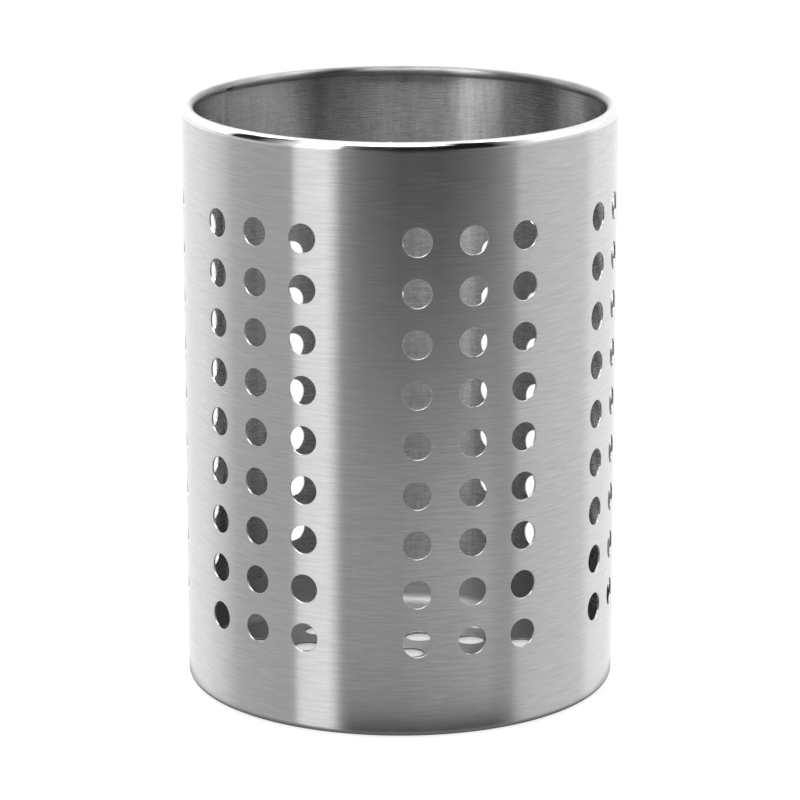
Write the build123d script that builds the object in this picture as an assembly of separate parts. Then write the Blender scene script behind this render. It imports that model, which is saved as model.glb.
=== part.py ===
"""A perforated stainless-steel cutlery holder, in millimetres, standing on Z = 0 with its axis along +Z.

One rolled wall with an inward rim bead and a turned-in foot lip, the weld that closes it, a pressed base pan with
drain holes, and the spot welds that hold the pan in the wall. The front of the holder faces -Y, and a turn is an
angle in degrees from the front towards +X.
"""
from build123d import *
from math import acos, ceil, cos, degrees, hypot, pi, radians, sin
import os

# Overall size
height = 180.0
outer_diameter = 132.0

# Wall sheet, with its rim bead rolled inwards and its foot turned inwards
wall_thickness = 0.6
bead_diameter = 3.2
bead_gap = 0.5  # between the bead's free edge and the wall
shoulder_radius = 4.0  # of the gentle bend that leads from the side into the bead
shoulder_bend = 26.0  # degrees
foot_bend_radius = 2.0
foot_lip_overlap = 3.0  # how far the lip reaches in under the flat of the base pan

# Wall holes, punched in groups along the blank before it is rolled
hole_diameter = 8.6
row_pitch = 15.2
column_pitch = 16.9  # along the outer face
columns_per_group = 3
plain_strip_width = 17.8  # between groups, beyond one column pitch
rows_clear_of_pan = 9.0  # least height from the pan's flange to the lowest holes
pattern_turn = 48.8  # degrees, to the middle of all the groups

# Weld that closes the rolled wall, in the widest plain strip
seam_width = 1.6
seam_offset = 10.0  # along the outer face, from the middle of the strip
bead_notch_width = 5.0  # along the outer face, where the bead's underside is cut back beside the weld

# Base pan
pan_thickness = 0.6
pan_clearance = 0.4  # between the pan's flange and the wall
pan_corner_radius = 3.5  # inside radius between floor and flange
pan_flange_height = 10.0  # straight height above the corner
drain_diameter = 8.8
drain_pitch = 16.5
drain_turn = -11.0  # degrees, the grid against the X axis
drain_shift = 5.0  # the grid's middle hole lies this far in front of the axis
drain_land = 1.0  # least width between the drain holes and the foot lip

# Spot welds between flange and wall
spot_diameter = 4.0
spot_clearance = 0.12  # keeps a nugget's round faces off the two sheets
spot_count = 12

overrun = 5.0  # how far a punch passes the faces it cuts

# Derived radii
outer_radius = outer_diameter / 2
inner_radius = outer_radius - wall_thickness
pan_radius = inner_radius - pan_clearance
pan_outer_corner = pan_corner_radius + pan_thickness
pan_flat_radius = pan_radius - pan_outer_corner
lip_radius = pan_flat_radius - foot_lip_overlap

# Derived heights: the pan sits on the foot lip
bead_radius = bead_diameter / 2
bead_z = height - bead_radius
pan_base_z = wall_thickness
pan_floor_z = pan_base_z + pan_thickness
pan_corner_z = pan_base_z + pan_outer_corner
pan_top_z = pan_corner_z + pan_flange_height
spot_z = (pan_corner_z + pan_top_z) / 2

# Derived hole pattern: as many rows and groups as fit, with the rows in the middle of the height
group_pitch = columns_per_group * column_pitch + plain_strip_width
group_count = int(pi * outer_diameter / group_pitch)
group_step = degrees(group_pitch / outer_radius)
column_step = degrees(column_pitch / outer_radius)
row_span = height - 2 * (pan_top_z + rows_clear_of_pan) - hole_diameter
row_count = 1 + int(row_span / row_pitch)

# Derived place of the seam, across from the middle of the hole pattern
seam_turn = pattern_turn + 180 + degrees(seam_offset / outer_radius)
seam_sweep = degrees(seam_width / outer_radius)


def centred(count, step):
    """Offsets of a row of evenly spaced things about its middle."""
    return [(index - (count - 1) / 2) * step for index in range(count)]


def radial_bar(turn, z, diameter, from_radius, to_radius):
    """A round bar that points outwards from the axis, between two distances from it."""
    outwards = (sin(radians(turn)), -cos(radians(turn)), 0)
    plane = Plane(origin=(0, 0, z), x_dir=(0, 0, 1), z_dir=outwards)
    bar = Cylinder(diameter / 2, to_radius - from_radius, align=(Align.CENTER, Align.CENTER, Align.MIN))
    return plane * Pos(0, 0, from_radius) * bar


def wall_profile():
    """The wall's cut section: foot lip, foot bend, side, shoulder and rim bead, one sheet thick throughout."""
    bend_x = outer_radius - foot_bend_radius
    bend_inside = foot_bend_radius - wall_thickness
    bead_inside = bead_radius - wall_thickness
    shoulder_inside = shoulder_radius - wall_thickness
    shoulder_x = outer_radius - shoulder_radius
    bead_x = shoulder_x + (shoulder_radius - bead_radius) * cos(radians(shoulder_bend))
    shoulder_z = bead_z - (shoulder_radius - bead_radius) * sin(radians(shoulder_bend))
    curl = 360 - degrees(acos((inner_radius - bead_gap - bead_x) / bead_radius))
    bead_turn = curl - shoulder_bend
    edge_x = cos(radians(curl))
    edge_z = sin(radians(curl))
    with BuildSketch(Plane.XZ) as section:
        with BuildLine():
            Line((lip_radius, 0), (bend_x, 0))
            CenterArc((bend_x, foot_bend_radius), foot_bend_radius, -90, 90)
            Line((outer_radius, foot_bend_radius), (outer_radius, shoulder_z))
            CenterArc((shoulder_x, shoulder_z), shoulder_radius, 0, shoulder_bend)
            CenterArc((bead_x, bead_z), bead_radius, shoulder_bend, bead_turn)
            Line(
                (bead_x + bead_radius * edge_x, bead_z + bead_radius * edge_z),
                (bead_x + bead_inside * edge_x, bead_z + bead_inside * edge_z),
            )
            CenterArc((bead_x, bead_z), bead_inside, shoulder_bend, bead_turn)
            CenterArc((shoulder_x, shoulder_z), shoulder_inside, 0, shoulder_bend)
            Line((inner_radius, shoulder_z), (inner_radius, foot_bend_radius))
            CenterArc((bend_x, foot_bend_radius), bend_inside, -90, 90)
            Line((bend_x, wall_thickness), (lip_radius, wall_thickness))
            Line((lip_radius, wall_thickness), (lip_radius, 0))
        make_face()
    return section.sketch


def rolled(profile, start_turn, sweep):
    """A section carried round the axis through a sweep, from a turn onwards."""
    ring = revolve(profile, Axis.Z, revolution_arc=sweep)
    return Rot(0, 0, start_turn - 90) * ring


def bead_notch():
    """The space cut out of the bead's underside beside the weld, so that the curl's two ends clear it."""
    reach = bead_diameter + overrun
    with BuildSketch(Plane.XZ) as section:
        with Locations((inner_radius - bead_gap / 2, bead_z)):
            Rectangle(reach, reach, align=(Align.MAX, Align.MAX))
    sweep = degrees(bead_notch_width / outer_radius)
    return rolled(section.sketch, seam_turn - sweep / 2, sweep)


def hole_places():
    """The turn and height of every wall hole."""
    places = []
    for group_offset in centred(group_count, group_step):
        for column_offset in centred(columns_per_group, column_step):
            turn = pattern_turn + group_offset + column_offset
            for row_offset in centred(row_count, row_pitch):
                places.append((turn, height / 2 + row_offset))
    return places


def make_wall_sheet():
    """The rolled sheet, open by the width of the seam, with its holes punched square to the face."""
    sheet = rolled(wall_profile(), seam_turn + seam_sweep / 2, 360 - seam_sweep)
    punches = [
        radial_bar(turn, z, hole_diameter, inner_radius - overrun, outer_radius + overrun)
        for turn, z in hole_places()
    ]
    return sheet - punches - bead_notch()


def make_seam_weld():
    """The butt weld, ground flush, which fills the seam from the lip to the top of the rim."""
    return rolled(wall_profile(), seam_turn - seam_sweep / 2, seam_sweep) - bead_notch()


def pan_profile():
    """The pan's cut section from the axis to the flange's free edge."""
    flange_inside = pan_radius - pan_thickness
    with BuildSketch(Plane.XZ) as section:
        with BuildLine():
            Line((0, pan_base_z), (pan_flat_radius, pan_base_z))
            CenterArc((pan_flat_radius, pan_corner_z), pan_outer_corner, -90, 90)
            Line((pan_radius, pan_corner_z), (pan_radius, pan_top_z))
            Line((pan_radius, pan_top_z), (flange_inside, pan_top_z))
            Line((flange_inside, pan_top_z), (flange_inside, pan_corner_z))
            CenterArc((pan_flat_radius, pan_corner_z), pan_corner_radius, -90, 90)
            Line((pan_flat_radius, pan_floor_z), (0, pan_floor_z))
            Line((0, pan_floor_z), (0, pan_base_z))
        make_face()
    return section.sketch


def drain_places():
    """A square grid of drain holes, as many as lie whole inside the foot lip."""
    reach = lip_radius - drain_land - drain_diameter / 2
    along_x = drain_pitch * cos(radians(drain_turn))
    along_y = drain_pitch * sin(radians(drain_turn))
    steps = ceil((reach + drain_shift) / drain_pitch)
    places = []
    for i in range(-steps, steps + 1):
        for j in range(-steps, steps + 1):
            x = i * along_x - j * along_y
            y = i * along_y + j * along_x - drain_shift
            if hypot(x, y) <= reach:
                places.append((x, y))
    return places


def make_base_pan():
    """The pressed floor, which sits on the foot lip, with its drain holes punched through."""
    pan = revolve(pan_profile(), Axis.Z)
    punch = Cylinder(drain_diameter / 2, pan_thickness + 2 * overrun)
    return pan - [Pos(x, y, pan_base_z + pan_thickness / 2) * punch for x, y in drain_places()]


def make_spot_welds():
    """Weld nuggets that fill the clearance between flange and wall, evenly spaced and clear of the seam."""
    from_radius = pan_radius + spot_clearance
    to_radius = inner_radius - spot_clearance
    gap = Cylinder(to_radius, pan_top_z) - Cylinder(from_radius, pan_top_z)
    gap = Pos(0, 0, pan_top_z / 2) * gap
    nuggets = []
    for offset in centred(spot_count, 360 / spot_count):
        turn = seam_turn + 180 + offset
        bar = radial_bar(turn, spot_z, spot_diameter, from_radius - overrun, to_radius + overrun)
        nuggets.append((bar & gap).solid())
    return Compound(children=nuggets)


os.makedirs("parts", exist_ok=True)
export_step(make_wall_sheet(), "parts/wall_sheet.step")
export_step(make_seam_weld(), "parts/seam_weld.step")
export_step(make_base_pan(), "parts/base_pan.step")
export_step(make_spot_welds(), "parts/spot_welds.step")
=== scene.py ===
"""Looks of a perforated stainless-steel cutlery holder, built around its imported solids, in metres.

The front of the holder faces -Y, and a turn is an angle in degrees from the front towards +X.
"""
from math import acos, asin, ceil, cos, degrees, hypot, pi, radians, sin

import bpy
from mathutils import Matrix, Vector
from mathutils.geometry import tessellate_polygon


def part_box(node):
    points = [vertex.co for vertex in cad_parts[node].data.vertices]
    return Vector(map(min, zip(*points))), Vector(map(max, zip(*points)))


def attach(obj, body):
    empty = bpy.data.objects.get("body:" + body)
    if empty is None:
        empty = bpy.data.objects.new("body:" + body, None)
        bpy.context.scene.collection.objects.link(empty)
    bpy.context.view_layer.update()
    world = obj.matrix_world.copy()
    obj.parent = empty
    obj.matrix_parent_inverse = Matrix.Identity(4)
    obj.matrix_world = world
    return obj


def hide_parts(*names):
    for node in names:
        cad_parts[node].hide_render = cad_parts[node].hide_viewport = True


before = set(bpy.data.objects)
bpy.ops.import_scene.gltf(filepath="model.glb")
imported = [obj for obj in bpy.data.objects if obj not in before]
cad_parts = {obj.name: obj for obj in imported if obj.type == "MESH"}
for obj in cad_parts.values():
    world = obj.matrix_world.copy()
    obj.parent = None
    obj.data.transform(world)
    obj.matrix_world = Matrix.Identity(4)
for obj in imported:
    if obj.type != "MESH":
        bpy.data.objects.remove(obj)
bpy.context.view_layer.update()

MM = 0.001
UPWARDS = Vector((0, 0, 1))

# Sizes of the part, as in its source
_, WALL_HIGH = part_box("wall_sheet")
HEIGHT = WALL_HIGH.z
OUTER_RADIUS = WALL_HIGH.x
SHEET = 0.6 * MM
BEAD_RADIUS = 1.6 * MM
BEAD_GAP = 0.5 * MM
SHOULDER_RADIUS = 4.0 * MM
SHOULDER_BEND = 26.0
FOOT_BEND = 2.0 * MM
FOOT_OVERLAP = 3.0 * MM
HOLE_RADIUS = 4.3 * MM
ROW_PITCH = 15.2 * MM
ROW_COUNT = 9
COLUMN_PITCH = 16.9 * MM
COLUMNS_PER_GROUP = 3
GROUP_PITCH = 68.5 * MM
GROUP_COUNT = 6
PATTERN_TURN = 48.8
SEAM_WIDTH = 1.6 * MM
SEAM_OFFSET = 10.0 * MM
NOTCH_WIDTH = 5.0 * MM
PAN_CLEARANCE = 0.4 * MM
PAN_CORNER = 3.5 * MM
PAN_FLANGE = 10.0 * MM
DRAIN_RADIUS = 4.4 * MM
DRAIN_PITCH = 16.5 * MM
DRAIN_TURN = -11.0
DRAIN_SHIFT = 5.0 * MM
DRAIN_LAND = 1.0 * MM

# Derived sizes of the wall
INNER_RADIUS = OUTER_RADIUS - SHEET
COLUMN_STEP = degrees(COLUMN_PITCH / OUTER_RADIUS)
GROUP_STEP = degrees(GROUP_PITCH / OUTER_RADIUS)
SEAM_TURN = PATTERN_TURN - 180 + degrees(SEAM_OFFSET / OUTER_RADIUS)
SEAM_SWEEP = degrees(SEAM_WIDTH / OUTER_RADIUS)
NOTCH_SWEEP = degrees(NOTCH_WIDTH / OUTER_RADIUS)
SHOULDER_R = OUTER_RADIUS - SHOULDER_RADIUS
BEAD_R = SHOULDER_R + (SHOULDER_RADIUS - BEAD_RADIUS) * cos(radians(SHOULDER_BEND))
BEAD_Z = HEIGHT - BEAD_RADIUS
SHOULDER_Z = BEAD_Z - (SHOULDER_RADIUS - BEAD_RADIUS) * sin(radians(SHOULDER_BEND))
BEAD_CURL = 360 - degrees(acos((INNER_RADIUS - BEAD_GAP - BEAD_R) / BEAD_RADIUS))

# Derived sizes of the pan, which sits on the foot lip
PAN_RADIUS = INNER_RADIUS - PAN_CLEARANCE
PAN_OUTER_CORNER = PAN_CORNER + SHEET
PAN_FLAT_RADIUS = PAN_RADIUS - PAN_OUTER_CORNER
LIP_RADIUS = PAN_FLAT_RADIUS - FOOT_OVERLAP
PAN_BASE_Z = SHEET
PAN_FLOOR_Z = PAN_BASE_Z + SHEET
PAN_CORNER_Z = PAN_BASE_Z + PAN_OUTER_CORNER
PAN_TOP_Z = PAN_CORNER_Z + PAN_FLANGE

# Fineness of the meshes
CELL_STEPS = 8  # along each side of the piece of sheet meshed around a hole
CELL_WIDTH = 12.4 * MM
GAP_STEPS = 2  # between neighbours in a group
PLAIN_STEPS = 8
BEND_STEPS = 8
BEAD_STEPS = 24  # along each half of the bead
NOTCH_STEPS = 2
SEAM_STEPS = 4
PAN_STEPS = 192
DRAIN_STEPS = 32
PUNCHED_EDGE = 0.2 * MM  # rounding of a hole's edges
HOLE_COLLAR = 1.6 * MM  # evenly meshed ring around a hole

# A sheet's finishes, as numbers of its material slots
OUTSIDE = 0
INSIDE = 1
BEAD = 2


def centred(count, step):
    """Offsets of a row of evenly spaced things about its middle."""
    return [(index - (count - 1) / 2) * step for index in range(count)]


def around(turn, radius, z):
    """The point at a turn, a distance from the axis and a height."""
    return Vector((radius * sin(radians(turn)), -radius * cos(radians(turn)), z))


def extend(values, end, steps):
    """Goes on from a list's last value to an end value in even steps."""
    start = values[-1]
    values.extend(start + (end - start) * step / steps for step in range(1, steps + 1))


class Skin:
    """A closed mesh in the making, with the true normal of the surface at each corner."""

    def __init__(self):
        self.points = []
        self.faces = []
        self.normals = []
        self.finishes = []

    def point(self, place):
        """Adds a point and gives its number."""
        self.points.append(place)
        return len(self.points) - 1

    def face(self, corners, normals, finish=OUTSIDE):
        """Adds a face over numbered points, with a normal for each."""
        self.faces.append(corners)
        self.normals.extend(normals)
        self.finishes.append(finish)

    def band(self, first, second, finish=OUTSIDE):
        """Quads between two closed lines of points, each given as its points and their normals."""
        first_points, first_normals = first
        second_points, second_normals = second
        count = len(first_points)
        for index in range(count):
            after = (index + 1) % count
            self.face(
                (first_points[index], first_points[after], second_points[after], second_points[index]),
                (first_normals[index], first_normals[after], second_normals[after], second_normals[index]),
                finish,
            )

    def piece(self, name, node, slot, materials):
        """Makes the finished object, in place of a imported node."""
        mesh = bpy.data.meshes.new(name)
        mesh.from_pydata(self.points, [], self.faces)
        mesh.shade_smooth()
        mesh.normals_split_custom_set([normal.normalized() for normal in self.normals])
        for material in materials:
            mesh.materials.append(material)
        mesh.polygons.foreach_set("material_index", self.finishes)
        result = bpy.data.objects.new(name, mesh)
        bpy.context.scene.collection.objects.link(result)
        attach(result, "root")
        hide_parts(node)


class Station:
    """A place along a sheet's section: its outer point, its inner point and the outward normal, as (r, z).

    The finish is that of the outer skin on the way to this place.
    """

    def __init__(self, outer, inner, normal, finish=OUTSIDE):
        self.outer = outer
        self.inner = inner
        self.normal = normal
        self.finish = finish


def arc_stations(centre_r, centre_z, radius, start, end, steps, finish=OUTSIDE):
    """Stations along a bend of a given outer radius about a centre, after its start and up to its end."""
    stations = []
    for step in range(1, steps + 1):
        angle = radians(start + (end - start) * step / steps)
        normal = (cos(angle), sin(angle))
        outer = (centre_r + radius * normal[0], centre_z + radius * normal[1])
        inner = (centre_r + (radius - SHEET) * normal[0], centre_z + (radius - SHEET) * normal[1])
        stations.append(Station(outer, inner, normal, finish))
    return stations


def wall_section():
    """Stations from the foot lip's edge to the bead's free edge, with the rows of holes and the notch.

    A row is given as the number of the station where it begins and its height, and the notch beside the
    seam as the number of the station where it begins, halfway round the bead.
    """
    bend_r = OUTER_RADIUS - FOOT_BEND
    downwards = (0, -1)
    stations = [
        Station((LIP_RADIUS, 0), (LIP_RADIUS, SHEET), downwards),
        Station((bend_r, 0), (bend_r, SHEET), downwards),
    ]
    stations += arc_stations(bend_r, FOOT_BEND, FOOT_BEND, -90, 0, BEND_STEPS)
    heights = [FOOT_BEND]
    rows = []
    for offset in centred(ROW_COUNT, ROW_PITCH):
        row_z = HEIGHT / 2 + offset
        if not rows:
            extend(heights, row_z - ROW_PITCH / 2, PLAIN_STEPS)
        rows.append((len(stations) + len(heights) - 2, row_z))
        extend(heights, row_z + ROW_PITCH / 2, CELL_STEPS)
    extend(heights, SHOULDER_Z, PLAIN_STEPS)
    stations += [Station((OUTER_RADIUS, z), (INNER_RADIUS, z), (1, 0)) for z in heights[1:]]
    stations += arc_stations(SHOULDER_R, SHOULDER_Z, SHOULDER_RADIUS, 0, SHOULDER_BEND, BEND_STEPS, BEAD)
    stations += arc_stations(BEAD_R, BEAD_Z, BEAD_RADIUS, SHOULDER_BEND, 180, BEAD_STEPS, BEAD)
    notch = len(stations) - 1
    stations += arc_stations(BEAD_R, BEAD_Z, BEAD_RADIUS, 180, BEAD_CURL, BEAD_STEPS, BEAD)
    return stations, rows, notch


def wall_turns():
    """Turns from one seam edge round to the other, with the columns of holes.

    A column is given as the number of the turn where it begins and the turn of its holes.
    """
    turns = [SEAM_TURN + SEAM_SWEEP / 2]
    extend(turns, SEAM_TURN + NOTCH_SWEEP / 2, NOTCH_STEPS)
    columns = []
    cell_sweep = degrees(CELL_WIDTH / OUTER_RADIUS)
    for group_offset in centred(GROUP_COUNT, GROUP_STEP):
        for column, column_offset in enumerate(centred(COLUMNS_PER_GROUP, COLUMN_STEP)):
            turn = PATTERN_TURN + group_offset + column_offset
            extend(turns, turn - cell_sweep / 2, GAP_STEPS if column else PLAIN_STEPS)
            columns.append((len(turns) - 1, turn))
            extend(turns, turn + cell_sweep / 2, CELL_STEPS)
    extend(turns, SEAM_TURN + 360 - NOTCH_SWEEP / 2, PLAIN_STEPS)
    extend(turns, SEAM_TURN + 360 - SEAM_SWEEP / 2, NOTCH_STEPS)
    return turns, columns


class RolledSheet:
    """The two skins of the wall's section, carried round the axis over a list of turns."""

    def __init__(self, stations, turns, left_out=()):
        """left_out names the (turn, station) places that get no points."""
        self.skin = Skin()
        self.stations = stations
        self.turns = turns
        self.outer = {}
        self.inner = {}
        for i, turn in enumerate(turns):
            for j, station in enumerate(stations):
                if (i, j) not in left_out:
                    self.outer[i, j] = self.skin.point(around(turn, *station.outer))
                    self.inner[i, j] = self.skin.point(around(turn, *station.inner))

    def normal(self, i, j):
        """The outward normal at a (turn, station) place."""
        return around(self.turns[i], *self.stations[j].normal)

    def quad(self, i, j):
        """One patch of the outer skin and the patch of the inner skin behind it."""
        places = ((i, j), (i + 1, j), (i + 1, j + 1), (i, j + 1))
        normals = [self.normal(*place) for place in places]
        self.skin.face([self.outer[place] for place in places], normals, self.stations[j + 1].finish)
        back = [self.inner[place] for place in reversed(places)]
        self.skin.face(back, [-normal for normal in reversed(normals)], INSIDE)

    def close_edges(self, corners):
        """The cut edges, from corner to corner round the sheet's outline."""
        for (i, j), (next_i, next_j) in zip(corners, corners[1:] + corners[:1]):
            count = max(abs(next_i - i), abs(next_j - j))
            self.close([
                (i + (next_i - i) * step // count, j + (next_j - j) * step // count)
                for step in range(count + 1)
            ])

    def close(self, places):
        """A strip across the sheet's thickness, with flat shading across the cut."""
        for first, second in zip(places, places[1:]):
            corners = (self.outer[first], self.outer[second], self.inner[second], self.inner[first])
            a, b, c = (self.skin.points[corner] for corner in corners[:3])
            normal = (b - a).cross(c - b)
            self.skin.face(corners, [normal] * 4)


def punched_stations(radius):
    """Rings through a punched hole, as (ring radius, depth below the outer skin, lean in degrees).

    The normal points out of the outer skin at a lean of 0, towards the hole's axis at 90 and out of the inner
    skin at 180.
    """
    edge = PUNCHED_EDGE
    slant = edge * (1 - sin(radians(45)))
    return (
        (radius + HOLE_COLLAR, 0, 0),
        (radius + edge, 0, 0),
        (radius + slant, slant, 45),
        (radius, edge, 90),
        (radius, SHEET - edge, 90),
        (radius + slant, SHEET - slant, 135),
        (radius + edge, SHEET, 180),
        (radius + HOLE_COLLAR, SHEET, 180),
    )


def leaning(outwards, to_axis, lean):
    """A normal that leans from the way out of the sheet towards a hole's axis."""
    return outwards * cos(radians(lean)) + to_axis * sin(radians(lean))


def punch_wall(sheet, column, row):
    """Meshes the piece of sheet around one hole, and the hole's own rounded edges."""
    first_i, turn = column
    first_j, row_z = row
    rim = [(step, 0) for step in range(CELL_STEPS)]
    rim += [(CELL_STEPS, step) for step in range(CELL_STEPS)]
    rim += [(CELL_STEPS - step, CELL_STEPS) for step in range(CELL_STEPS)]
    rim += [(0, CELL_STEPS - step) for step in range(CELL_STEPS)]
    places = [(first_i + i, first_j + j) for i, j in rim]
    normals = [sheet.normal(*place) for place in places]
    lines = [([sheet.outer[place] for place in places], normals)]
    count = len(places)
    first_angle = -135  # towards the corner where the rim begins
    for ring_radius, depth, lean in punched_stations(HOLE_RADIUS):
        indices = []
        ring_normals = []
        for step in range(count):
            angle = radians(first_angle + 360 * step / count)
            radius = OUTER_RADIUS - depth
            ring_turn = turn + degrees(asin(ring_radius * cos(angle) / radius))
            place = around(ring_turn, radius, row_z + ring_radius * sin(angle))
            outwards = around(ring_turn, 1, 0)
            to_axis = around(turn + 90, -cos(angle), -sin(angle))
            indices.append(sheet.skin.point(place))
            ring_normals.append(leaning(outwards, to_axis, lean))
        lines.append((indices, ring_normals))
    lines.append(([sheet.inner[place] for place in places], [-normal for normal in normals]))
    for first, second in zip(lines[:-3], lines[1:-2]):
        sheet.skin.band(first, second)
    for first, second in zip(lines[-3:-1], lines[-2:]):  # on the inner skin
        sheet.skin.band(first, second, INSIDE)


def cell_places(columns, rows, steps):
    """The (turn, station) places at given steps into the pieces of sheet around all the holes."""
    return {
        (first_i + i, first_j + j)
        for first_i, _ in columns for first_j, _ in rows for i in steps for j in steps
    }


def make_wall(materials):
    """The rolled wall with its foot lip, its punched holes and its rim bead, notched beside the seam."""
    stations, rows, notch = wall_section()
    turns, columns = wall_turns()
    last_i = len(turns) - 1
    last_j = len(stations) - 1
    after_notch = last_i - NOTCH_STEPS
    notched_turns = list(range(NOTCH_STEPS)) + list(range(after_notch + 1, last_i + 1))
    left_out = cell_places(columns, rows, range(1, CELL_STEPS))
    left_out |= {(i, j) for i in notched_turns for j in range(notch + 1, last_j + 1)}
    notched_patches = list(range(NOTCH_STEPS)) + list(range(after_notch, last_i))
    bare = cell_places(columns, rows, range(CELL_STEPS))
    bare |= {(i, j) for i in notched_patches for j in range(notch, last_j)}
    sheet = RolledSheet(stations, turns, left_out)
    for i in range(last_i):
        for j in range(last_j):
            if (i, j) not in bare:
                sheet.quad(i, j)
    for column in columns:
        for row in rows:
            punch_wall(sheet, column, row)
    sheet.close_edges([
        (0, 0), (0, notch), (NOTCH_STEPS, notch), (NOTCH_STEPS, last_j),
        (after_notch, last_j), (after_notch, notch), (last_i, notch), (last_i, 0),
    ])
    sheet.skin.piece("wall", "wall_sheet", "brushed_wall", materials)


def make_seam(materials):
    """The ground weld between the wall's two edges, up to the notch in the bead."""
    stations, _, notch = wall_section()
    turns = [SEAM_TURN + offset for offset in centred(SEAM_STEPS + 1, SEAM_SWEEP / SEAM_STEPS)]
    sheet = RolledSheet(stations[:notch + 1], turns)
    for i in range(SEAM_STEPS):
        for j in range(notch):
            sheet.quad(i, j)
    sheet.close_edges([(0, 0), (0, notch), (SEAM_STEPS, notch), (SEAM_STEPS, 0)])
    sheet.skin.piece("seam", "seam_weld", "weld", materials)


def drain_places():
    """A square grid of drain holes, as many as lie whole inside the foot lip."""
    reach = LIP_RADIUS - DRAIN_LAND - DRAIN_RADIUS
    along_x = DRAIN_PITCH * cos(radians(DRAIN_TURN))
    along_y = DRAIN_PITCH * sin(radians(DRAIN_TURN))
    steps = ceil((reach + DRAIN_SHIFT) / DRAIN_PITCH)
    places = []
    for i in range(-steps, steps + 1):
        for j in range(-steps, steps + 1):
            x = i * along_x - j * along_y
            y = i * along_y + j * along_x - DRAIN_SHIFT
            if hypot(x, y) <= reach:
                places.append((x, y))
    return places


def drain_rings(skin, x, y):
    """Rings of points through one drain hole, each with its normals, from the pan's floor downwards."""
    rings = []
    for ring_radius, depth, lean in punched_stations(DRAIN_RADIUS)[1:-1]:  # all but the collars
        indices = []
        normals = []
        for step in range(DRAIN_STEPS):
            angle = 2 * pi * step / DRAIN_STEPS
            outwards = Vector((cos(angle), sin(angle), 0))
            place = Vector((x, y, PAN_FLOOR_Z - depth)) + outwards * ring_radius
            indices.append(skin.point(place))
            normals.append(leaning(UPWARDS, -outwards, lean))
        rings.append((indices, normals))
    return rings


def fill_flat(skin, lines, normal):
    """Triangles over a flat area inside its first line of points and outside the others."""
    indices = [index for line in lines for index in line]
    for triangle in tessellate_polygon([[skin.points[index] for index in line] for line in lines]):
        corners = [indices[corner] for corner in triangle]
        a, b, c = (skin.points[corner] for corner in corners)
        if (b - a).cross(c - a).dot(normal) < 0:
            corners.reverse()
        skin.face(corners, [normal] * 3)


def pan_section():
    """Stations from the edge of the pan's flat floor to the top of its flange."""
    stations = [Station((PAN_FLAT_RADIUS, PAN_BASE_Z), (PAN_FLAT_RADIUS, PAN_FLOOR_Z), (0, -1))]
    stations += arc_stations(PAN_FLAT_RADIUS, PAN_CORNER_Z, PAN_OUTER_CORNER, -90, 0, BEND_STEPS)
    stations.append(Station((PAN_RADIUS, PAN_TOP_Z), (PAN_RADIUS - SHEET, PAN_TOP_Z), (1, 0)))
    return stations


def make_pan(materials):
    """The pressed base pan with its drain holes."""
    skin = Skin()
    turns = [360 * step / PAN_STEPS for step in range(PAN_STEPS)]
    outer = []
    inner = []
    for station in pan_section():
        normals = [around(turn, *station.normal) for turn in turns]
        back_normals = [-normal for normal in normals]
        outer.append(([skin.point(around(turn, *station.outer)) for turn in turns], normals))
        inner.append(([skin.point(around(turn, *station.inner)) for turn in turns], back_normals))
    for first, second in zip(outer, outer[1:]):
        skin.band(first, second)
    for first, second in zip(inner, inner[1:]):
        skin.band(second, first)
    edge_normals = [UPWARDS] * PAN_STEPS
    skin.band((outer[-1][0], edge_normals), (inner[-1][0], edge_normals))
    tops = [inner[0][0]]
    bottoms = [outer[0][0]]
    for x, y in drain_places():
        rings = drain_rings(skin, x, y)
        for first, second in zip(rings, rings[1:]):
            skin.band(first, second)
        tops.append(rings[0][0])
        bottoms.append(rings[-1][0])
    fill_flat(skin, tops, UPWARDS)
    fill_flat(skin, bottoms, -UPWARDS)
    skin.piece("pan", "base_pan", "pressed_base", materials)


# Marks on the steel, as features per metre level and along Z, and the noise's detail
FINE_LINES = (130, 4200, 2.0)
COARSE_LINES = (120, 1900, 2.0)
SCUFFS = (900, 90, 3.0)
RIPPLES = (500, 1400, 2.0)
NOISE_ROUGHNESS = 0.6
NOISE_LOW = 0.3  # level of the noise that counts as 0
NOISE_HIGH = 0.7  # and as 1
BRUSH_DEPTH = 0.0028 * MM
RIPPLE_DEPTH = 0.02 * MM
COARSE_SHARE = 0.6  # of the coarse lines in a brushed sheet's colour
ROUGHNESS_SWING_SHARE = 0.12  # of a brushed sheet's roughness, with its fine lines
INSIDE_SCUFFED_SHARE = 0.6

# Colours of each finish, in its dark and its light marks; those noted below also hold painted light or shade
OUTSIDE_COLOURS = ((0.58, 0.585, 0.595, 1), (0.73, 0.73, 0.73, 1))
# The inside's and the pan's colours are lower than the outside's: painted shade for the holder's dim hollow
INSIDE_COLOURS = ((0.40, 0.403, 0.41, 1), (0.66, 0.66, 0.66, 1))
PAN_COLOURS = ((0.34, 0.343, 0.35, 1), (0.53, 0.53, 0.53, 1))
# The bead's light pair is a painted highlight, and its dark pair a painted dark reflection
PAINTED_HIGHLIGHT_COLOURS = ((0.84, 0.845, 0.85, 1), (0.94, 0.94, 0.94, 1))
PAINTED_DARK_REFLECTION_COLOURS = ((0.22, 0.223, 0.228, 1), (0.36, 0.36, 0.36, 1))
WELD_COLOURS = ((0.52, 0.515, 0.505, 1), (0.66, 0.655, 0.645, 1))

# Roughness of each finish
OUTSIDE_ROUGHNESS = 0.17
INSIDE_ROUGHNESS = 0.27
PAN_ROUGHNESS = 0.32
BURNISHED_ROUGHNESS = 0.07
DULL_ROUGHNESS = 0.30
WELD_DARK_ROUGHNESS = 0.42
WELD_LIGHT_ROUGHNESS = 0.32

# How far highlights are drawn out, and their turn from the way round the axis, in whole turns
BRUSHED_ANISOTROPY = 1.0
WELD_ANISOTROPY = 0.8
QUARTER_TURN = 0.25
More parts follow.
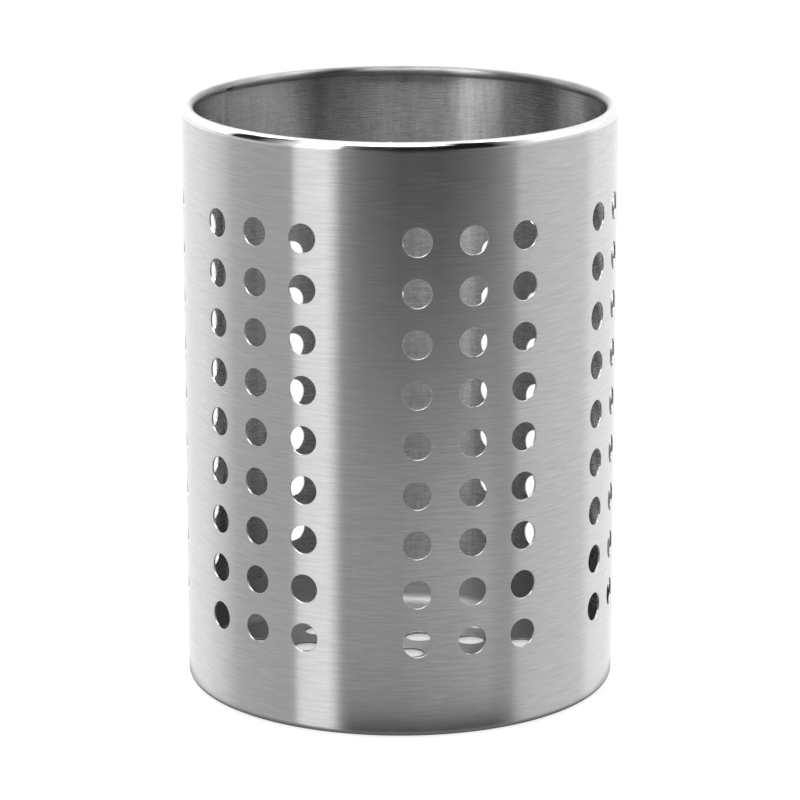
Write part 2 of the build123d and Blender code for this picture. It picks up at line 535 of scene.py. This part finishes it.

# Distances from the axis between which the bead goes from burnished, with a painted highlight in its colour,
# to dulled, with a painted dark reflection in its colour
BURNISHED_AND_HIGHLIGHT_R = BEAD_R + 0.3 * BEAD_RADIUS
DULL_AND_DARK_R = BEAD_R - 0.7 * BEAD_RADIUS


class Graph:
    """Adds nodes to a node tree; an input takes a value or another node's output."""

    def __init__(self, owner):
        owner.use_nodes = True
        self.tree = owner.node_tree
        self.tree.nodes.clear()

    def add(self, kind, inputs=None, **settings):
        """A node of a kind, with its settings made and its inputs filled."""
        node = self.tree.nodes.new(kind)
        for name, value in settings.items():
            setattr(node, name, value)
        for name, value in (inputs or {}).items():
            if isinstance(value, bpy.types.NodeSocket):
                self.tree.links.new(value, node.inputs[name])
            else:
                node.inputs[name].default_value = value
        return node

    def math(self, operation, first, second):
        """A number worked out from two others."""
        return self.add("ShaderNodeMath", {0: first, 1: second}, operation=operation).outputs[0]

    def spread(self, value, low, high, to_low, to_high):
        """Maps a value from one range to another."""
        inputs = {"Value": value, "From Min": low, "From Max": high, "To Min": to_low, "To Max": to_high}
        return self.add("ShaderNodeMapRange", inputs).outputs["Result"]

    def mix(self, factor, first, second):
        """A colour between two colours."""
        inputs = {"Factor": factor, "A": first, "B": second}
        return self.add("ShaderNodeMix", inputs, data_type="RGBA").outputs["Result"]

    def blend(self, factor, first, second):
        """A shader between two shaders."""
        return self.add("ShaderNodeMixShader", {0: factor, 1: first, 2: second}).outputs[0]

    def ramp(self, factor, stops):
        """A grey ramp through (position, level) stops."""
        node = self.add("ShaderNodeValToRGB", {"Fac": factor})
        elements = node.color_ramp.elements
        while len(elements) < len(stops):
            elements.new(0.5)
        for element, (position, level) in zip(elements, stops):
            element.position = position
            element.color = (level, level, level, 1)
        return node.outputs["Color"]

    def matt(self, level):
        """A dull grey shader."""
        return self.add("ShaderNodeBsdfDiffuse", {"Color": (level, level, level, 1)}).outputs[0]

    def place(self):
        """The place on the object, in metres."""
        return self.add("ShaderNodeTexCoord").outputs["Object"]

    def streaks(self, coordinates, level_rate, upright_rate, detail):
        """Noise with so many features per metre level and along Z, drawn out the way of the lower rate."""
        rates = (level_rate, level_rate, upright_rate)
        scaled = self.add("ShaderNodeMapping", {"Vector": coordinates, "Scale": rates}).outputs[0]
        inputs = {"Vector": scaled, "Scale": 1.0, "Detail": detail, "Roughness": NOISE_ROUGHNESS}
        return self.add("ShaderNodeTexNoise", inputs).outputs["Fac"]

    def marks(self, coordinates, kind):
        """Marks of one kind, from 0 where they are dark to 1 where they are light."""
        return self.spread(self.streaks(coordinates, *kind), NOISE_LOW, NOISE_HIGH, 0.0, 1.0)


def wall_grain(graph):
    """Coordinates for brush lines that run round the wall, with Z across the lines."""
    return graph.place()


def from_axis(graph, place):
    """The distance of a place from the holder's axis."""
    parts = graph.add("ShaderNodeSeparateXYZ", {"Vector": place}).outputs
    flat = graph.add("ShaderNodeCombineXYZ", {"X": parts["X"], "Y": parts["Y"]}).outputs[0]
    return graph.add("ShaderNodeVectorMath", {0: flat}, operation="LENGTH").outputs["Value"]


def pan_grain(graph):
    """Coordinates for brush lines in circles about the axis, over the pan's floor and up its flange."""
    place = graph.place()
    parts = graph.add("ShaderNodeSeparateXYZ", {"Vector": place}).outputs
    across = graph.math("ADD", from_axis(graph, place), parts["Z"])
    return graph.add("ShaderNodeCombineXYZ", {"X": parts["X"], "Y": parts["Y"], "Z": across}).outputs[0]


def finish_steel(graph, colour, roughness, relief, depth, anisotropy):
    """Metal worked round the axis, so that highlights stretch across the marks, up and down the wall."""
    bump = graph.add("ShaderNodeBump", {"Height": relief, "Strength": 1.0, "Distance": depth})
    tangent = graph.add("ShaderNodeTangent", direction_type="RADIAL", axis="Z")
    shader = graph.add(
        "ShaderNodeBsdfPrincipled",
        {
            "Base Color": colour,
            "Metallic": 1.0,
            "Roughness": roughness,
            "Anisotropic": anisotropy,
            "Anisotropic Rotation": QUARTER_TURN,
            "Normal": bump.outputs[0],
            "Tangent": tangent.outputs[0],
        },
    )
    graph.add("ShaderNodeOutputMaterial", {"Surface": shader.outputs[0]})


def brushed_steel(name, grain, colours, roughness, scuffed_share=0.0):
    """Brushed sheet, with light and dark lines and a roughness that varies with the finest of them.

    A scuffed sheet also has upright marks, where cutlery slides in and out.
    """
    material = bpy.data.materials.new(name)
    graph = Graph(material)
    place = grain(graph)
    fine = graph.marks(place, FINE_LINES)
    coarse = graph.marks(place, COARSE_LINES)
    marks = graph.mix(COARSE_SHARE, fine, coarse)
    if scuffed_share:
        marks = graph.mix(scuffed_share, marks, graph.marks(place, SCUFFS))
    swing = ROUGHNESS_SWING_SHARE * roughness
    varied = graph.spread(fine, 0.0, 1.0, roughness + swing, roughness - swing)
    finish_steel(graph, graph.mix(marks, *colours), varied, coarse, BRUSH_DEPTH, BRUSHED_ANISOTROPY)
    return material


def rolled_steel(name):
    """The rim bead, burnished by rolling on its outer side and crest, and dulled round to its free edge, with
    a painted highlight in its colour on the burnished side and a painted dark reflection towards the free
    edge.
    """
    material = bpy.data.materials.new(name)
    graph = Graph(material)
    place = wall_grain(graph)
    coarse = graph.marks(place, COARSE_LINES)
    dull_and_dark = graph.spread(from_axis(graph, place), BURNISHED_AND_HIGHLIGHT_R, DULL_AND_DARK_R, 0.0, 1.0)
    # The colour goes from a painted highlight on the outer side and crest to a painted dark reflection
    # towards the free edge
    colour = graph.mix(dull_and_dark, graph.mix(coarse, *PAINTED_HIGHLIGHT_COLOURS), graph.mix(coarse, *PAINTED_DARK_REFLECTION_COLOURS))
    roughness = graph.spread(dull_and_dark, 0.0, 1.0, BURNISHED_ROUGHNESS, DULL_ROUGHNESS)
    finish_steel(graph, colour, roughness, coarse, BRUSH_DEPTH, BRUSHED_ANISOTROPY)
    return material


def weld_steel(name):
    """A weld ground flush: duller than the sheet, with fine ripples along its run."""
    material = bpy.data.materials.new(name)
    graph = Graph(material)
    ripples = graph.streaks(graph.place(), *RIPPLES)
    colour = graph.mix(ripples, *WELD_COLOURS)
    roughness = graph.spread(ripples, NOISE_LOW, NOISE_HIGH, WELD_DARK_ROUGHNESS, WELD_LIGHT_ROUGHNESS)
    finish_steel(graph, colour, roughness, ripples, RIPPLE_DEPTH, WELD_ANISOTROPY)
    return material


# The studio round the holder, in rings one above the other, each as (azimuth in degrees, level) stops. Low
# down are a dark room in front, a soft box at the left, panels at the sides and the white backdrop behind.
# Higher up are lamps in front and at both sides, with dark gaps between them, and then a pale ceiling.
WALL_RING = (
    (-180, 1.05), (-130, 1.0), (-113, 0.82), (-98, 0.56), (-59, 0.48), (-56, 0.98), (-39, 0.98), (-31, 0.34),
    (-20, 0.15), (0, 0.04), (20, 0.04), (45, 0.17), (62, 0.38), (66, 0.62), (100, 0.72), (114, 0.76),
    (124, 1.02), (180, 1.05),
)
PANEL_RING = (
    (-180, 1.05), (-120, 1.3), (-103, 1.4), (-97, 0.02), (-80, 0.03), (-66, 0.4), (-56, 0.9), (-52, 2.1),
    (-35, 2.1), (-30, 0.3), (-20, 0.05), (0, 0.01), (50, 0.01), (58, 0.2), (68, 0.7), (80, 1.3), (115, 1.5),
    (135, 1.05), (180, 1.05),
)
LAMP_RING = (
    (-180, 1.05), (-125, 1.3), (-112, 2.2), (-97, 2.2), (-88, 0.02), (-74, 0.02), (-52, 6.8), (-34, 6.8),
    (-30, 5.4), (20, 5.4), (36, 0.02), (65, 0.02), (73, 2.9), (90, 3.1), (118, 4.0), (140, 1.05), (180, 1.05),
)
CEILING_RING = ((-180, 1.1), (180, 1.1))
# Each ring with the heights of a ray's direction between which it takes over from the ring below
STUDIO = (
    (-1.0, -0.99, WALL_RING),
    (0.02, 0.1, PANEL_RING),
    (0.62, 0.70, LAMP_RING),
    (0.90, 0.94, CEILING_RING),
)


def azimuth_of(graph, x, y):
    """The azimuth of a direction, from the front towards +X, in radians."""
    return graph.math("ARCTAN2", x, graph.math("MULTIPLY", y, -1.0))


def round_ramp(graph, azimuth, stops):
    """The level in a direction, from (azimuth in degrees, level) stops."""
    position = graph.spread(azimuth, -pi, pi, 0.0, 1.0)
    return graph.ramp(position, [((turn + 180) / 360, level) for turn, level in stops])


def make_world():
    """Light by direction, with plain white behind the holder in the camera's own view."""
    world = bpy.data.worlds.new("studio")
    bpy.context.scene.world = world
    graph = Graph(world)
    direction = graph.add("ShaderNodeTexCoord").outputs["Generated"]
    parts = graph.add("ShaderNodeSeparateXYZ", {"Vector": direction}).outputs
    azimuth = azimuth_of(graph, parts["X"], parts["Y"])
    room = (0, 0, 0, 1)
    for start, full, stops in STUDIO:
        risen = graph.spread(parts["Z"], start, full, 0.0, 1.0)
        room = graph.mix(risen, room, round_ramp(graph, azimuth, stops))
    light = graph.add("ShaderNodeBackground", {"Color": room, "Strength": 1.0}).outputs[0]
    white = graph.add("ShaderNodeBackground", {"Color": (1, 1, 1, 1), "Strength": 1.0}).outputs[0]
    in_view = graph.add("ShaderNodeLightPath").outputs["Is Camera Ray"]
    graph.add("ShaderNodeOutputWorld", {"Surface": graph.blend(in_view, light, white)})


FLOOR_REACH = 1.6
FLOOR_DROP = 0.2 * MM
FLOOR_LEVEL = 0.9
FLOOR_WHITE_SHARE = 0.93  # of plain white in the camera's own view
# The lower white share under the holder is painted shade over the floor's real shadow
COVERED_WHITE_SHARE = 0.5  # under the holder

# The floor as the metal shows it: shaded at the foot, and grey in front. The grey's levels are by distance
# from the wall, and its shares and strengths are by azimuth in degrees.
SHADE_LEVEL = 0.2
SHADE_REACH = 5 * MM
GLOW_LEVELS = (
    (0, 0.02), (0.012, 0.12), (0.026, 0.32), (0.06, 0.38), (0.20, 0.46), (0.32, 0.40), (0.60, 0.10),
)
GLOW_SHARES = ((-180, 0), (-34, 0), (-24, 1), (46, 1), (64, 0), (180, 0))
GLOW_STRENGTHS = ((-180, 0.95), (0, 0.95), (28, 1.2), (44, 1.35), (180, 1.35))
GLOW_REACH = GLOW_LEVELS[-1][0]
GLOW_FULL_SHARE = 0.7  # of the reach, after which the grey fades out


def floor_in_view(graph, distance, in_view):
    """The floor to the camera, white apart from the holder's soft shadow, and pale to all other rays. The
    shadow is partly real, in the matt share, and partly painted shade, where the white share drops under the
    holder.
    """
    share = graph.spread(distance, -SHADE_REACH, 0.0, COVERED_WHITE_SHARE, FLOOR_WHITE_SHARE)
    white = graph.add("ShaderNodeEmission", {"Color": (1, 1, 1, 1), "Strength": 1.0}).outputs[0]
    return graph.blend(graph.math("MULTIPLY", in_view, share), graph.matt(FLOOR_LEVEL), white)


def floor_in_metal(graph, place, distance):
    """The floor as the metal shows it.

    Beyond the grey in front and the shade at the foot, the metal shows the studio's walls in place of the
    floor. The grey spreads from the line halfway between the axis and the front, where a round mirror
    gathers what it shows.
    """
    parts = graph.add("ShaderNodeSeparateXYZ", {"Vector": place}).outputs
    azimuth = azimuth_of(graph, parts["X"], graph.math("ADD", parts["Y"], OUTER_RADIUS / 2))
    position = graph.spread(distance, 0.0, GLOW_REACH, 0.0, 1.0)
    level = graph.ramp(position, [(away / GLOW_REACH, stop) for away, stop in GLOW_LEVELS])
    strength = round_ramp(graph, azimuth, GLOW_STRENGTHS)
    glow = graph.add("ShaderNodeEmission", {"Color": level, "Strength": strength}).outputs[0]
    fade = graph.spread(distance, GLOW_FULL_SHARE * GLOW_REACH, GLOW_REACH, 1.0, 0.0)
    share = graph.math("MULTIPLY", round_ramp(graph, azimuth, GLOW_SHARES), fade)
    clear = graph.add("ShaderNodeBsdfTransparent").outputs[0]
    front = graph.blend(share, clear, glow)
    outside = graph.spread(distance, 0.0, SHADE_REACH, 0.0, 1.0)
    return graph.blend(outside, graph.matt(SHADE_LEVEL), front)


def make_floor():
    """A pale floor just under the holder."""
    reach = FLOOR_REACH
    corners = [(-reach, -reach), (reach, -reach), (reach, reach), (-reach, reach)]
    mesh = bpy.data.meshes.new("floor")
    mesh.from_pydata([(x, y, -FLOOR_DROP) for x, y in corners], [], [(0, 1, 2, 3)])
    material = bpy.data.materials.new("floor")
    mesh.materials.append(material)
    floor = bpy.data.objects.new("floor", mesh)
    bpy.context.scene.collection.objects.link(floor)

    graph = Graph(material)
    path = graph.add("ShaderNodeLightPath").outputs
    place = graph.place()
    distance = graph.math("SUBTRACT", from_axis(graph, place), OUTER_RADIUS)
    seen = floor_in_view(graph, distance, path["Is Camera Ray"])
    shown = floor_in_metal(graph, place, distance)
    surface = graph.blend(path["Is Glossy Ray"], seen, shown)
    graph.add("ShaderNodeOutputMaterial", {"Surface": surface})


CAMERA_PLACE = (0, -1.1781, 0.3952)
CAMERA_DIP = 14.672  # degrees below level
CAMERA_LENS = 177.476  # millimetres, as is the sensor
CAMERA_SENSOR = 36


def make_camera():
    """A camera at the photograph's viewing angle."""
    data = bpy.data.cameras.new("camera")
    data.lens = CAMERA_LENS
    data.sensor_width = CAMERA_SENSOR
    camera = bpy.data.objects.new("camera", data)
    camera.location = CAMERA_PLACE
    camera.rotation_euler = (radians(90 - CAMERA_DIP), 0, 0)
    bpy.context.scene.collection.objects.link(camera)
    bpy.context.scene.camera = camera


# The holder
outside_steel = brushed_steel("brushed_outside", wall_grain, OUTSIDE_COLOURS, OUTSIDE_ROUGHNESS)
inside_steel = brushed_steel(
    "brushed_inside", wall_grain, INSIDE_COLOURS, INSIDE_ROUGHNESS, INSIDE_SCUFFED_SHARE
)
bead_steel = rolled_steel("rolled_bead")
pan_steel = brushed_steel("pressed_steel", pan_grain, PAN_COLOURS, PAN_ROUGHNESS)
weld = weld_steel("ground_weld")

make_wall([outside_steel, inside_steel, bead_steel])
make_seam([weld, weld, bead_steel])
make_pan([pan_steel])
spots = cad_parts["spot_welds"]
spots.data.materials.clear()
spots.data.materials.append(weld)

# The stage
make_world()
make_floor()
make_camera()
bpy.context.scene.view_settings.view_transform = "Standard"
